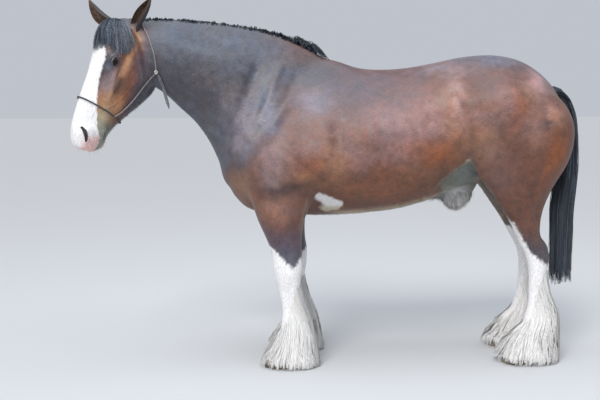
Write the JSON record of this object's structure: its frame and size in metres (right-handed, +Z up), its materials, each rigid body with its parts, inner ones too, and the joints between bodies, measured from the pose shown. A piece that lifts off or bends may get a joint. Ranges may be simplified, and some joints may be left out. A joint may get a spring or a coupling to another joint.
{
  "type": "shire horse",
  "caption": "Standing shire horse, life size, with long feathered white legs, full mane and tail, white blaze and a thin halter; stands still on its hooves.",
  "frame": {"origin": "centre of the bounding box on the plane of the hoof soles", "axes": "-X towards the horse's chest and head, +Y towards its right side, +Z up"},
  "size_m": [2.7974, 0.7378, 1.9949],
  "materials": {
    "coat": "short glossy blue-grey to bay coat",
    "ear_coat": "short dark coat, paler inside",
    "feathered_leg": "long white hair",
    "tail_hair": "long dark hair",
    "horn": "satin horn",
    "eye": "wet dark brown",
    "halter": "matt woven cord",
    "stud": "satin metal",
    "strap": "matt leather"
  },
  "bodies": {
    "root": {"ear_left": "ear_coat", "ear_right": "ear_coat", "eye_left": "eye", "eye_right": "eye", "fore_lower_left": "feathered_leg", "fore_lower_right": "feathered_leg", "fore_upper_left": "coat", "fore_upper_right": "coat", "halter_cords": "halter", "halter_strap_end": "strap", "halter_stud_left": "stud", "halter_stud_right": "stud", "head": "coat", "hind_lower_left": "feathered_leg", "hind_lower_right": "feathered_leg", "hind_upper_left": "coat", "hind_upper_right": "coat", "hoof_fore_left": "horn", "hoof_fore_right": "horn", "hoof_hind_left": "horn", "hoof_hind_right": "horn", "neck": "coat", "tail": "tail_hair", "torso": "coat"}
  },
  "joints": []
}
